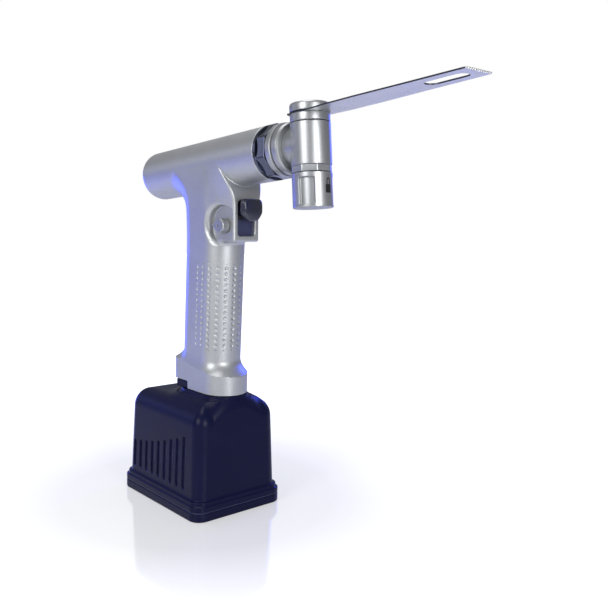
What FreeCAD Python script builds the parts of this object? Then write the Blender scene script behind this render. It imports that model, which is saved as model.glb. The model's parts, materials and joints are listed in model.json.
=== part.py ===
import FreeCAD, Part
import os
import re
import Sketcher
from FreeCAD import Placement, Rotation, Vector

# Battery sagittal saw handpiece: battery pack, pistol grip casing, saw head, blade.
# Millimetres. X runs forward, Y to the left, Z up. The origin is the middle of
# the battery base on the table. The barrel frame has its own letters: u along
# the barrel, v to the left, w up and square to the barrel.

os.makedirs("parts", exist_ok=True)
doc = FreeCAD.newDocument("SawHandpiece")
sheet = doc.addObject("Spreadsheet::Sheet", "Sizes")

SIZES = [
    # Barrel
    ("axis_height", 217.8), ("tilt", 5.1), ("barrel_radius", 16), ("barrel_rear", -54.5),
    ("barrel_front", 72.8), ("rear_round", 7), ("bore_radius", 13.4), ("bore_rear", -48),
    # Coupling
    ("collar_gap", 0.3), ("collar_end", 82.2), ("facet_start", 75.4), ("collar_bore", 10.6),
    ("shank_radius", 9.95), ("fit", 0.05), ("neck_radius", 11.25),
    ("ring_long", 10.7), ("ring_radius", 15.4), ("ring_end", "=collar_end + ring_long"),
    # Drive
    ("motor_front", 14), ("shaft_radius", 2.5), ("throw", 0.55), ("ball_radius", 2.5),
    # Head
    ("head_gap", 12.1), ("head_reach", "=ring_end + head_gap"), ("head_radius", 11.22), ("head_bottom", -11.3), ("head_top", 11.8),
    ("seat_top", 16.5), ("blade_thick", 1.2), ("cap_top", 22.4), ("nut_bottom", -15),
    ("knob_bottom", -34.4), ("spindle_radius", 3), ("bolt_radius", 1.6), ("chamber_radius", 9.2),
    ("pocket_depth", 1.5), ("gap", 0.3),
    # Blade
    ("blade_reach", 111.4), ("tip_half", 9.4), ("blade_half", 11), ("hub_half", 9.6),
    ("tooth_depth", 1.3), ("slot_half", 4.2), ("slot_start", 81), ("slot_stop", 105),
    # Battery
    ("base_top", 5.5), ("seal_thick", 0.5), ("flange_top", 12.2), ("flange_long", 45.9),
    ("flange_wide", 34.1), ("pack_long", 43.4), ("pack_wide", 31.4), ("pack_top", 69.9),
    ("pack_draft", 1.8), ("corner", 8), ("top_round", 12.5), ("wall", 3.2), ("plinth_top", "=pack_top + 4.7"),
    ("rib_pitch", 7.5), ("rib_first", -33.8), ("rib_low", 16.5), ("rib_high", 34.6),
    ("cell_radius", 9), ("cell_length", 65),
    # Grip and foot
    ("grip_half", 14.2), ("grip_rear", 6.2), ("grip_front", 20.7), ("rake", 0.038),
    ("foot_half", 15.2), ("foot_rear", -11.5), ("foot_front", 25.3), ("foot_bottom", "=plinth_top + 0.3"),
    ("notch_top", "=foot_bottom + 5.1"), ("notch_front", 6.3),
    # Trigger and selector
    ("guard_half", 9.5), ("guard_bottom", 172), ("guard_low", 47.7), ("guard_high", 46.3),
    ("slot_wide", 6.4), ("slot_low", 175.5), ("slot_high", 197), ("trigger_back", 50.5),
    ("trigger_face", 55.6), ("guide_low", 185.6), ("trigger_half", 7.1), ("trigger_low", 184.7), ("trigger_top", 198),
    ("dial_x", 39.6), ("dial_z", 181.6), ("dial_radius", 4.5), ("recess_radius", 13.5),
    ("recess_x", 37), ("recess_floor", 9.7),
]
for row, (name, number) in enumerate(SIZES, 1):
    sheet.set("A%d" % row, name)
    sheet.set("B%d" % row, str(number))
    sheet.setAlias("B%d" % row, name)
doc.recompute()
NAMES = {name for name, number in SIZES}
nodes = []


def ex(text):
    """Expression with each size name tied to its cell."""
    return re.sub(r"[a-z_]+", lambda m: "Sizes." + m[0] if m[0] in NAMES else m[0], str(text))


def val(text):
    return float(sheet.evalExpression(ex(text)))


def bind(thing, prop, text):
    """Set a property from an expression of size names."""
    thing.setExpression(prop, ex(text))


def place(thing, frame="floor", at=(0, 0, 0)):
    """Seat a piece in a frame: floor, tool (u v w), axial (z runs along u), head, ahead (z runs along X)."""
    axis, angle = {"floor": (Vector(0, 0, 1), "0"), "tool": (Vector(0, -1, 0), "tilt"),
                   "head": (Vector(0, -1, 0), "tilt"), "axial": (Vector(0, 1, 0), "90 - tilt"),
                   "ahead": (Vector(0, 1, 0), "90")}[frame]
    x, y, z = [str(a) for a in at]
    if frame in ("tool", "head", "axial"):
        reach = "head_reach" if frame == "head" else "0"
        along = "(%s + %s)" % (reach, x)
        x, z = ("%s * cos(tilt) - (%s) * sin(tilt)" % (along, z),
                "axis_height + %s * sin(tilt) + (%s) * cos(tilt)" % (along, z))
    thing.Placement = Placement(Vector(val(x), val(y), val(z)), Rotation(axis, val(angle)))
    for letter, text in zip("xyz", (x, y, z)):
        bind(thing, "Placement.Base." + letter, text)
    if angle != "0":
        bind(thing, "Placement.Rotation.Angle", angle)
    return thing


def node(label, thing, frame=None, at=None):
    """Name a finished piece and seat it, unless it already stands in its place."""
    if frame or at:
        place(thing, frame or "floor", at or (0, 0, 0))
    thing.Label = label
    nodes.append(thing)
    return thing


def outline(body, points, plane="XZ_Plane"):
    """Closed sketch through points, each coordinate held by its own size."""
    sketch = body.newObject("Sketcher::SketchObject", "Outline")
    support = [f for f in body.Origin.OriginFeatures if f.Role == plane][0]
    sketch.AttachmentSupport = [(support, "")]
    sketch.MapMode = "FlatFace"
    spots = [Vector(val(a), val(b), 0) for a, b in points]
    count = len(spots)
    for i in range(count):
        sketch.addGeometry(Part.LineSegment(spots[i], spots[(i + 1) % count]), False)
    for i in range(count):
        sketch.addConstraint(Sketcher.Constraint("Coincident", i, 2, (i + 1) % count, 1))
    for i, pair in enumerate(points):
        for way, axis, text, number in (("DistanceX", -2, pair[0], spots[i].x), ("DistanceY", -1, pair[1], spots[i].y)):
            if abs(number) < 1e-9:
                sketch.addConstraint(Sketcher.Constraint("PointOnObject", i, 1, axis))
                continue
            held = sketch.addConstraint(Sketcher.Constraint(way, -1, 1, i, 1, number))
            sketch.setExpression("Constraints[%d]" % held, ex(text))
    return sketch


def turned(name, points, axis="H_Axis"):
    """Solid of revolution about the sketch's own axis."""
    body = doc.addObject("PartDesign::Body", name)
    sketch = outline(body, points)
    spin = body.newObject("PartDesign::Revolution", "Spin")
    spin.Profile = sketch
    spin.ReferenceAxis = (sketch, [axis])
    spin.Angle = 360
    return body


def tube(name, outer, inner, start, stop, axis="H_Axis"):
    """Plain ring between two stations along its axis."""
    points = [(start, inner), (stop, inner), (stop, outer), (start, outer)]
    if axis == "V_Axis":
        points = [(b, a) for a, b in points]
    return turned(name, points, axis)


def prism(name, points, height, plane="XY_Plane", both=False, taper=0):
    """Padded outline."""
    body = doc.addObject("PartDesign::Body", name)
    sketch = outline(body, points, plane)
    pad = body.newObject("PartDesign::Pad", "Pad")
    pad.Profile = sketch
    pad.Length = val(height)
    bind(pad, "Length", height)
    if both:
        pad.SideType = "Symmetric"
    if taper:
        bind(pad, "TaperAngle", taper)
    doc.recompute()
    return body


def rounded(body, test, radius):
    """Fillet the edges of a body that pass a test on their middle point and box."""
    doc.recompute()
    base = body.Tip
    names = ["Edge%d" % (i + 1) for i, edge in enumerate(base.Shape.Edges) if test(edge)]
    fillet = body.newObject("PartDesign::Fillet", "Round")
    fillet.Base = (base, names)
    bind(fillet, "Radius", radius)
    doc.recompute()
    return body


def upright(edge):
    box = edge.BoundBox
    return box.ZLength > 0.5 * edge.Length and box.ZLength > 0.3


def slab(name, half_long, half_wide, height, radius, taper=0):
    """Upright block with rounded corners, on its own ground plane."""
    corners = [("-(%s)" % half_long, "-(%s)" % half_wide), (half_long, "-(%s)" % half_wide),
               (half_long, half_wide), ("-(%s)" % half_long, half_wide)]
    body = prism(name, corners, height, taper=taper)
    return rounded(body, upright, radius) if radius else body


def box(name, start, stop):
    """Block between two corners, each given as expressions."""
    solid = doc.addObject("Part::Box", name)
    for prop, low, high in zip(("Length", "Width", "Height"), start, stop):
        bind(solid, prop, "(%s) - (%s)" % (high, low))
    return place(solid, "floor", start)


def rod(name, radius, height, at=(0, 0, 0), axis=None, turn=0):
    """Cylinder from a point, upright unless an axis and turn are given."""
    solid = doc.addObject("Part::Cylinder", name)
    bind(solid, "Radius", radius)
    bind(solid, "Height", height)
    place(solid, "floor", at)
    if axis:
        solid.Placement = Placement(solid.Placement.Base, Rotation(Vector(*axis), turn))
        for letter, text in zip("xyz", at):
            bind(solid, "Placement.Base." + letter, text)
    return solid


def fuse(name, *shapes):
    thing = doc.addObject("Part::MultiFuse", name)
    thing.Shapes = list(shapes)
    thing.Refine = True
    return thing


def cut(name, base, *tools):
    thing = doc.addObject("Part::Cut", name)
    thing.Base = base
    thing.Tool = tools[0] if len(tools) == 1 else fuse(name + "Tools", *tools)
    thing.Refine = True
    return thing


def stadium(name, rear, front, half, height):
    """Oval section: two half circles joined by straight sides."""
    sketch = doc.addObject("Sketcher::SketchObject", name)
    a, b, r = val(rear), val(front), val(half)
    quarter = 1.5707963267948966
    ring = Part.Circle
    up = Vector(0, 0, 1)
    sketch.addGeometry(Part.LineSegment(Vector(a, -r, 0), Vector(b, -r, 0)), False)
    sketch.addGeometry(Part.ArcOfCircle(ring(Vector(b, 0, 0), up, r), -quarter, quarter), False)
    sketch.addGeometry(Part.LineSegment(Vector(b, r, 0), Vector(a, r, 0)), False)
    sketch.addGeometry(Part.ArcOfCircle(ring(Vector(a, 0, 0), up, r), quarter, 3 * quarter), False)
    for i in range(4):
        sketch.addConstraint(Sketcher.Constraint("Tangent", i, 2, (i + 1) % 4, 1))
    for arc, text, number in ((1, front, b), (3, rear, a)):
        sketch.addConstraint(Sketcher.Constraint("PointOnObject", arc, 3, -1))
        held = sketch.addConstraint(Sketcher.Constraint("DistanceX", -1, 1, arc, 3, number))
        sketch.setExpression("Constraints[%d]" % held, ex(text))
    held = sketch.addConstraint(Sketcher.Constraint("Radius", 1, r))
    sketch.setExpression("Constraints[%d]" % held, ex(half))
    return place(sketch, "floor", (0, 0, height))


def loft(name, sections, ruled=False):
    thing = doc.addObject("Part::Loft", name)
    thing.Sections = sections
    thing.Solid = True
    thing.Ruled = ruled
    return thing


def spring(label, radius, wire, height, turns, frame, at):
    """Coil of square wire about its own Z axis."""
    body = doc.addObject("PartDesign::Body", label)
    sketch = body.newObject("Sketcher::SketchObject", "Wire")
    support = [f for f in body.Origin.OriginFeatures if f.Role == "XZ_Plane"][0]
    sketch.AttachmentSupport = [(support, "")]
    sketch.MapMode = "FlatFace"
    corners = [Vector(radius + a * wire, wire + b * wire, 0) for a, b in ((-1, -1), (1, -1), (1, 1), (-1, 1))]
    for i in range(4):
        sketch.addGeometry(Part.LineSegment(corners[i], corners[(i + 1) % 4]), False)
    coil = body.newObject("PartDesign::AdditiveHelix", "Coil")
    coil.Profile = sketch
    coil.ReferenceAxis = (sketch, ["V_Axis"])
    coil.Mode = 0
    coil.Pitch = (height - 2 * wire) / turns
    coil.Height = height - 2 * wire
    return node(label, body, frame, at)


# Battery base plate, its seal and its screws
base = slab("BasePlate", "flange_long", "flange_wide", "base_top", "corner")
wells = [rod("Well", 2.6, 3, (sx * 36, sy * 25, -1)) for sx in (-1, 1) for sy in (-1, 1)]
holes = [rod("Hole", 1.6, 9, (sx * 36, sy * 25, -1)) for sx in (-1, 1) for sy in (-1, 1)]
node("battery_base", cut("BaseCut", base, *wells, *holes))
seal = slab("SealSheet", "flange_long - 0.5", "flange_wide - 0.5", "seal_thick", "corner - 0.5")
window = box("SealWindow", ("wall + 2 - pack_long", "wall + 2 - pack_wide", -1), ("pack_long - wall - 2", "pack_wide - wall - 2", 2))
pass_holes = [rod("SealHole", 1.6, 9, (sx * 36, sy * 25, -1)) for sx in (-1, 1) for sy in (-1, 1)]
node("base_seal", cut("SealCut", seal, window, *pass_holes), at=(0, 0, "base_top"))
screws = []
for sx in (-1, 1):
    for sy in (-1, 1):
        screws.append(rod("Head", 2.4, 1.8, (sx * 36, sy * 25, 0.2)))
        screws.append(rod("Thread", 1.4, 10, (sx * 36, sy * 25, 1.9)))
node("base_screws", fuse("Screws", *screws))

# Battery housing: drafted box on a flange, rounded top, ribbed sides, raised plinth
flange = slab("Flange", "flange_long", "flange_wide", "flange_top - base_top - seal_thick", "corner")
place(flange, at=(0, 0, "base_top + seal_thick"))
pack = prism("PackForm", [("-pack_long", "-pack_wide"), ("pack_long", "-pack_wide"), ("pack_long", "pack_wide"),
                          ("-pack_long", "pack_wide")], "pack_top - flange_top", taper="-pack_draft")
rounded(pack, lambda e: e.BoundBox.ZLength < 0.01 and e.BoundBox.ZMin > 10, "top_round")
rounded(pack, upright, "corner")
place(pack, at=(0, 0, "flange_top"))
room = slab("PackRoom", "pack_long - wall", "pack_wide - wall", "pack_top - 9", 6)
posts = [rod("Post", 3.4, "pack_top - 20", (sx * 36, sy * 25, "base_top + seal_thick")) for sx in (-1, 1) for sy in (-1, 1)]
taps = [rod("Tap", 1.45, 9, (sx * 36, sy * 25, 4)) for sx in (-1, 1) for sy in (-1, 1)]
ribs = []
for k in range(9):
    for side in (-1, 1):
        inner = "pack_wide - 2.1" if side > 0 else "-pack_wide - 1"
        outer = "pack_wide + 1" if side > 0 else "2.1 - pack_wide"
        left = "rib_first + %d * rib_pitch - 1.6" % k
        ribs.append(box("Rib", (left, inner, "rib_low"), (left + " + 3.2", outer, "rib_high + %.2f" % (k + 0.12 * k * k))))
hollow = cut("PackHollow", fuse("PackOuter", flange, pack), room, *ribs)
plinth = loft("Plinth", [stadium("PlinthFoot", 5.5, "foot_front", "foot_half + 1.6", "pack_top - 9"),
                         stadium("PlinthMid", 5.5, "foot_front", "foot_half + 1.6", "pack_top + 2.6"),
                         stadium("PlinthTop", 5.5, "foot_front", "foot_half + 0.6", "plinth_top")], True)
node("battery_housing", cut("PackBody", fuse("PackWhole", hollow, plinth, *posts), *taps))

# Cells in their carrier
cells = [rod("Cell", "cell_radius", "cell_length", (-32.5, y, z), (0, 1, 0), 90) for y in (-18.6, 0, 18.6) for z in (19.5, 38.5)]
node("battery_cells", fuse("Cells", *cells))
carrier = box("CarrierPlate", (-30, -27.8, 28.7), (30, 27.8, 29.3))
ends = [box("CarrierEnd", (x, -19, 10), (x + 2, 19, 48)) for x in (-35, 33)]
node("cell_carrier", fuse("Carrier", carrier, *ends))

# Terminal tower and its contact blades
node("terminal_block", box("Tower", (9, -7, "plinth_top"), (24, 7, "plinth_top + 11.4")))
blades = [box("ContactBlade", (11, y - 0.8, "plinth_top + 11.4"), (22, y + 0.8, "plinth_top + 13.9")) for y in (-4, 0, 4)]
node("battery_contacts", fuse("Contacts", *blades))

# Latch: fixed block under the foot's notch, sliding button behind it
block = slab("LatchForm", 6.9, 14.4, "notch_top - gap - plinth_top", 1.2)
place(block, at=(-1, 0, "plinth_top"))
node("latch_block", cut("LatchBlockCut", block, box("LatchWay", (-9, -4, "plinth_top - 1"), (0, 4, "plinth_top + 4.2"))))
button = slab("ButtonForm", 2, 7.6, 4.5, 1)
place(button, at=(-10.6, 0, "plinth_top + gap"))
tongue = box("Tongue", (-9, -3.7, "plinth_top + 0.3"), (-4, 3.7, "plinth_top + 3.9"))
nub = rod("Nub", 1.7, 9, (-12.4, -4.5, "plinth_top + 2.2"), (1, 0, 0), -90)
node("battery_latch", fuse("Latch", button, tongue, nub))
spring("latch_spring", 1.3, 0.25, 3.8, 3, "ahead", (-3.9, 0, "plinth_top + 2.3"))

# Casing: barrel, grip, trigger housing and foot, cast in one
barrel = turned("BarrelForm", [("barrel_rear", 0), ("barrel_front", 0), ("barrel_front", "barrel_radius"), ("barrel_rear", "barrel_radius")])
rounded(barrel, lambda e: e.BoundBox.XLength < 0.01 and e.BoundBox.XMin < 0 and e.BoundBox.YLength > 20, "rear_round")
place(barrel, "tool")
shift = " + rake * (%s - 130)"
grip_sections = []
for z, back, ahead, half in ((90, -0.6, 2.5, 0.6), (102, 0, 0, 0), (130, 0, 0, 0), (165, 0, 0, 0), (187, 0, 0.5, 0.1),
                             (197, 2.2, 2, 0.5), (205, 5.5, 5, 1.1), (213, 5.5, 5, 1.6)):
    grip_sections.append(stadium("GripSection", "grip_rear - %s" % back + shift % z, "grip_front + %s" % ahead + shift % z,
                                 "grip_half + %s" % half, z))
grip = loft("GripForm", grip_sections)
foot = loft("FootForm", [stadium("FootLow", 3.7, "foot_front", "foot_half", "foot_bottom"),
                         stadium("FootMid", 3.7, "foot_front", "foot_half", 88.5),
                         stadium("FootHigh", "grip_rear - 0.3", "grip_front + 0.4", "grip_half + 0.3", 98)], True)
heel = slab("HeelForm", 9, "foot_half", "91 - foot_bottom", 5)
place(heel, at=("foot_rear + 9", 0, "foot_bottom"))
web = []
for z, root, mid, mid_half, face, face_half in ((None, 13.8, 34, 13.4, "guard_low", "guard_half"), (198, 14.8, 38, 14.4, "guard_high", "guard_half"),
                                                (221, 15.9, 39.5, 15.9, 42.5, 13.5)):
    sketch_body = doc.addObject("Sketcher::SketchObject", "WebSection")
    points = [(10, "-%s" % root), (mid, "-%s" % mid_half), (face, "-%s" % face_half), (face, face_half), (mid, mid_half), (10, root)]
    spots = [Vector(val(a), val(b), 0) for a, b in points]
    for i in range(6):
        sketch_body.addGeometry(Part.LineSegment(spots[i], spots[(i + 1) % 6]), False)
    for i in range(6):
        sketch_body.addConstraint(Sketcher.Constraint("Coincident", i, 2, (i + 1) % 6, 1))
    for i, (a, b) in enumerate(points):
        held = sketch_body.addConstraint(Sketcher.Constraint("DistanceX", -1, 1, i, 1, spots[i].x))
        sketch_body.setExpression("Constraints[%d]" % held, ex(a))
        held = sketch_body.addConstraint(Sketcher.Constraint("DistanceY", -1, 1, i, 1, spots[i].y))
        sketch_body.setExpression("Constraints[%d]" % held, ex(b))
    web.append(place(sketch_body, at=(0, 0, z or "guard_bottom")))
guard = loft("GuardForm", web, True)
outer = fuse("CasingOuter", barrel, grip, foot, heel, guard)
bore = turned("BoreForm", [("bore_rear", 0), ("barrel_front + 2", 0), ("barrel_front + 2", "bore_radius"), ("bore_rear", "bore_radius")])
place(bore, "tool")
core = loft("CoreForm", [stadium("CoreLow", 6.5, 19.5, 11.2, "plinth_top - 4.6"), stadium("CoreHigh", 9, 22, 11.2, 207)], True)
slot = box("TriggerSlot", (20, "-slot_wide", "slot_low"), (60, "slot_wide", "slot_high"))
notch = box("LatchNotch", (-20, -20, "plinth_top - 4.6"), ("notch_front", 20, "notch_top"))
recess = rod("Recess", "recess_radius", 12, ("recess_x", "-recess_floor", 181.5), (1, 0, 0), 90)
dial_bore = rod("DialBore", "2 + fit", 12, ("dial_x", -3, "dial_z"), (1, 0, 0), 90)
node("casing", cut("CasingCut", outer, bore, core, slot, notch, recess, dial_bore))

# Motor, fixed in the barrel
node("motor_can", turned("MotorCan", [(-46, "bore_radius - fit"), ("motor_front", "bore_radius - fit"), ("motor_front", 11.6), (-46, 11.6)]), "tool")
node("motor_rear_plate", turned("RearPlate", [(-47.8, "shaft_radius + fit"), (-46, "shaft_radius + fit"), (-46, "bore_radius - fit"), (-47.8, "bore_radius - fit")]), "tool")
node("motor_front_plate", turned("FrontPlate", [("motor_front", "shaft_radius + fit"), ("motor_front + 2.5", "shaft_radius + fit"), ("motor_front + 2.5", "bore_radius - fit"), ("motor_front", "bore_radius - fit")]), "tool")
node("motor_magnets", tube("Magnets", 11.5, 9.4, -36, 6), "tool")
node("nose_ring", tube("NoseRing", "bore_radius - fit", "shank_radius + fit", 54, 66), "tool")

# Rotor, shaft, coupling and eccentric: one spinning train
node("rotor", tube("Rotor", 8.8, "shaft_radius", -36, 6), "tool")
node("motor_shaft", turned("MotorShaft", [(-47.6, 0), (30, 0), (30, "shaft_radius"), (-47.6, "shaft_radius")]), "tool")
node("drive_coupling", turned("Coupling", [(22, "shaft_radius"), (30, "shaft_radius"), (30, 0), (30.4, 0), (30.4, 3), (40, 3), (40, 6.5), (39, 7.5), (23, 7.5), (22, 6.5)]), "tool")
node("drive_shaft", fuse("DriveShaftForm", rod("ShaftLong", 3, "head_reach - 9.4 - 30.6", (0, 0, 30.6)),
                         rod("Crank", 1.3, 5.8, ("-throw", 0, "head_reach - 9.6"))), "axial")
node("eccentric_ball", cut("BallCut", rod("Ball", "ball_radius", 2.6, ("-throw", 0, "head_reach - 6.6")),
                           rod("BallBore", 1.3, 9, ("-throw", 0, "head_reach - 9"))), "axial")

# Coupling collar: plain rim, eight flats, tail running in the barrel
tail = turned("CollarForm", [("barrel_front - 5.8", "collar_bore"), ("collar_end", "collar_bore"), ("collar_end", "barrel_radius - 1.9"),
                             ("facet_start", "barrel_radius - 1.9"), ("facet_start", "barrel_radius"), ("barrel_front + collar_gap", "barrel_radius"),
                             ("barrel_front + collar_gap", "bore_radius - fit"), ("barrel_front - 5.8", "bore_radius - fit")])
flats = doc.addObject("Part::Prism", "Flats")
flats.Polygon = 8
bind(flats, "Circumradius", "barrel_radius + 0.15")
bind(flats, "Height", "collar_end - facet_start - 0.4")
flats.Placement = Placement(Vector(val("facet_start"), 0, 0), Rotation(Vector(0, 1, 0), 90) * Rotation(Vector(0, 0, 1), 17))
bind(flats, "Placement.Base.x", "facet_start")
flats_ring = cut("FlatsRing", flats, rod("FlatsBore", "collar_bore", 40, (60, 0, 0), (0, 1, 0), 90))
node("coupling_collar", fuse("Collar", tail, flats_ring), "tool")

# Saw head housing with its shank, index ring and bearings
neck = turned("NeckForm", [(56, 5.4), ("head_reach", 5.4), ("head_reach", "neck_radius"), ("ring_end", "neck_radius"), ("ring_end", "shank_radius"), (56, "shank_radius")])
tower = turned("TowerForm", [(0, "head_bottom"), ("head_radius", "head_bottom"), ("head_radius", "head_top"), (0, "head_top")], "V_Axis")
place(tower, at=("head_reach", 0, 0))
room_up = rod("TopSeat", 8, 20, ("head_reach", 0, 6.4))
room_mid = rod("Chamber", "chamber_radius", 12.8, ("head_reach", 0, -6.4))
room_low = rod("LowSeat", 7, 20, ("head_reach", 0, -20))
entry = rod("Entry", 5.4, "head_reach - 56", (56, 0, 0), (0, 1, 0), 90)
shell = fuse("HeadOuter", neck, tower)
node("head_housing", cut("HeadCut", shell, room_up, room_mid, room_low, entry), "tool")
node("index_ring", turned("IndexRing", [
    ("collar_end + 0.4", "shank_radius"), ("ring_end", "shank_radius"), ("ring_end", "ring_radius - 1.2"),
    ("ring_end - 0.7", "ring_radius - 0.6"), ("ring_end - 4.7", "ring_radius - 0.6"), ("ring_end - 5", "ring_radius - 1.6"),
    ("ring_end - 5.7", "ring_radius - 1.6"), ("ring_end - 6.1", "ring_radius - 0.2"), ("collar_end + 1.2", "ring_radius"),
    ("collar_end + 0.4", "ring_radius - 0.5")]), "tool")
bearing_rings = [tube("RearBearing", 5.4, "3 + fit", 60, 64), tube("FrontBearing", 5.4, "3 + fit", "ring_end - 4.9", "ring_end - 0.9")]
node("shaft_bearings", fuse("ShaftBearings", *bearing_rings), "tool")
node("upper_bearing", tube("UpperBearing", 8, "spindle_radius + fit", 6.6, 11.2, "V_Axis"), "head")
node("lower_bearing", tube("LowerBearing", 7, "spindle_radius + fit", -10.8, -6.6, "V_Axis"), "head")

# Retaining nut under the head: eight flats and a skirt that carries the lock knob
nut = doc.addObject("Part::Prism", "NutFlats")
nut.Polygon = 8
bind(nut, "Circumradius", "head_radius + 0.1")
bind(nut, "Height", "head_bottom - nut_bottom")
nut.Placement = Placement(Vector(0, 0, val("nut_bottom")), Rotation(Vector(0, 0, 1), 2))
bind(nut, "Placement.Base.z", "nut_bottom")
skirt = rod("Skirt", 7.95, 4.6, (0, 0, "nut_bottom - 4.5"))
node("retaining_nut", cut("NutCut", fuse("NutWhole", nut, skirt), rod("NutBore", 3.4, 30, (0, 0, -30)), rod("SpringRoom", 5.6, 7, (0, 0, "nut_bottom - 5"))), "head")

# Spindle, fork, blade seat and blade: one swinging train
node("spindle", cut("SpindleCut", rod("SpindleForm", "spindle_radius", "head_top + 0.4 + 11", (0, 0, -11)),
                    rod("SpindleBore", "bolt_radius + fit", 40, (0, 0, -20))), "head")
arm_parts = [box("Arm", (-7, y, -2), (1, y + 1.5, 2)) for y in (-5.6, 4.1)]
hub = rod("ForkHub", 6, 4, (0, 0, -2))
hub_front = cut("HubFront", hub, box("HubTrim", (-9, -4.1, -5), ("-spindle_radius - 0.4", 4.1, 5)))
node("fork", cut("ForkCut", fuse("ForkWhole", hub_front, *arm_parts), rod("ForkBore", "spindle_radius", 9, (0, 0, -4))), "head")
node("blade_seat", turned("BladeSeat", [("spindle_radius - 1.3", "head_top + 0.4"), ("head_radius - 0.3", "head_top + 0.4"), ("head_radius", "head_top + 0.8"),
                                        ("head_radius", "seat_top - 0.3"), ("head_radius - 0.3", "seat_top"), ("spindle_radius - 1.3", "seat_top")], "V_Axis"), "head")
teeth = 12
edge = [("blade_reach - tooth_depth", "-tip_half")]
for k in range(teeth):
    edge.append(("blade_reach", "tip_half * %.5f" % (-1 + 2 * (k + 0.5) / teeth)))
    if k < teeth - 1:
        edge.append(("blade_reach - tooth_depth", "tip_half * %.5f" % (-1 + 2 * (k + 1) / teeth)))
edge.append(("blade_reach - tooth_depth", "tip_half"))
side = [(73, "tip_half + 0.7"), (45, "blade_half"), (21, "blade_half"), (11, "hub_half + 0.6"), (-8, "hub_half"), (-9.6, "hub_half - 2.4")]
blade = prism("BladeForm", edge + side + [(x, "-(%s)" % y) for x, y in reversed(side)], "blade_thick")
place(blade, at=(0, 0, "seat_top"))
window = fuse("BladeWindow", box("WindowBox", ("slot_start + slot_half", "-slot_half", 10), ("slot_stop - slot_half", "slot_half", 30)),
              rod("WindowRear", "slot_half", 20, ("slot_start + slot_half", 0, 10)), rod("WindowFront", "slot_half", 20, ("slot_stop - slot_half", 0, 10)))
node("blade", cut("BladeCut", blade, rod("BladeBore", "bolt_radius + 0.4", 20, (0, 0, 10)), window), "head")

# Clamp cap on its draw bolt, lifted by the lock knob
cap = turned("CapForm", [("bolt_radius", "seat_top + blade_thick"), ("head_radius - 0.3", "seat_top + blade_thick"), ("head_radius", "seat_top + blade_thick + 0.3"),
                         ("head_radius", "cap_top - 1.6"), ("head_radius - 0.5", "cap_top - 0.5"), ("head_radius - 1.6", "cap_top"), (0, "cap_top"), (0, "cap_top - 1"), ("bolt_radius", "cap_top - 1")], "V_Axis")
node("clamp_cap", cap, "head")
node("draw_bolt", turned("DrawBolt", [(0, -24), (5, -24), (5, -22.2), ("bolt_radius", -22.2), ("bolt_radius", "cap_top - 1"), (0, "cap_top - 1")], "V_Axis"), "head")
spring("clamp_spring", 3.9, 0.5, 8.9, 3, "head", (0, 0, -22.1))

# Lock knob: cup with three finger pockets
cup = turned("KnobForm", [(0, "knob_bottom"), ("head_radius - 0.6", "knob_bottom"), ("head_radius", "knob_bottom + 0.6"), ("head_radius", "nut_bottom - gap"),
                          (8, "nut_bottom - gap"), (8, -29.5), (4.6, -29.5), (4.6, -24.4), (0, -24.4)], "V_Axis")
pockets = []
for angle in (60, 180, 300):
    sector = cut("Pocket", box("PocketBox", (6, -4.56, "knob_bottom + 1.4"), (14, 4.56, -18)), rod("PocketFloor", "head_radius - pocket_depth", 40, (0, 0, -40)))
    sector.Placement = Placement(Vector(0, 0, 0), Rotation(Vector(0, 0, 1), angle))
    pockets.append(sector)
node("lock_knob", cut("Knob", cup, *pockets), "head")

# Trigger: pad, stem, guide, switch block and return spring
pad = prism("TriggerForm", [("-trigger_half", "trigger_top - 2"), ("2 - trigger_half", "trigger_top"), ("trigger_half - 2", "trigger_top"), ("trigger_half", "trigger_top - 2"),
                            ("trigger_half", "trigger_low + 5"), ("trigger_half - 3.2", "trigger_low"), ("3.2 - trigger_half", "trigger_low"), ("-trigger_half", "trigger_low + 5")],
            "trigger_face - trigger_back", "YZ_Plane")
node("trigger_pad", pad, at=("trigger_back", 0, 0))
node("trigger_stem", box("StemForm", (34, -4.7, "guide_low + 2.3"), ("trigger_back", 4.7, "guide_low + 9.6")))
guide = box("GuideForm", (37, "-slot_wide", "guide_low"), (44, "slot_wide", "slot_high"))
node("trigger_guide", cut("GuideCut", guide, box("GuideWay", (30, -5, "guide_low + 2"), (50, 5, "guide_low + 9.9"))))
node("slot_plate", box("PlateForm", (43.4, "-slot_wide", "slot_low"), (44.8, "slot_wide", "guide_low")))
node("trigger_switch", box("SwitchForm", (14, -6.1, "guide_low"), (28, 6.1, "guide_low + 11.2")))
spring("trigger_spring", 2.6, 0.35, 5.9, 3, "ahead", (28.05, 0, "guide_low + 5.9"))

# Selector: knob with a pointer to the rear, on its own shaft
hub = rod("DialHub", "dial_radius", 5.2, (0, 0, 0), (1, 0, 0), 90)
pointer = prism("Pointer", [(-10.4, -0.7), (0, -3.4), (0, 3.4), (-10.4, 0.7)], 3.6, "XZ_Plane")
node("selector_knob", fuse("Selector", hub, pointer), at=("dial_x", "-recess_floor - 0.3", "dial_z"))
node("selector_shaft", rod("SelectorShaft", 2, "recess_floor + 0.3 - 3.4", ("dial_x", -3.4, "dial_z"), (1, 0, 0), 90))
node("selector_cam", rod("SelectorCam", 2.9, 2.2, ("dial_x", -1.2, "dial_z"), (1, 0, 0), 90))

# Control board and contact block in the grip
node("control_board", box("BoardForm", (12, -11, "plinth_top + 31.4"), (13.6, 11, "plinth_top + 93.4")))
plug = stadium("PlugSection", 7.2, 19.8, 10.7, "plinth_top + 16.4")
plug_top = stadium("PlugTop", 7.2, 19.8, 10.7, "plinth_top + 23.4")
node("contact_block", loft("ContactForm", [plug, plug_top], True))
pins = [rod("Pin", 0.9, 2.2, (16.5, y, "plinth_top + 14.2")) for y in (-4, 0, 4)]
node("contact_pins", fuse("Pins", *pins))

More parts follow.
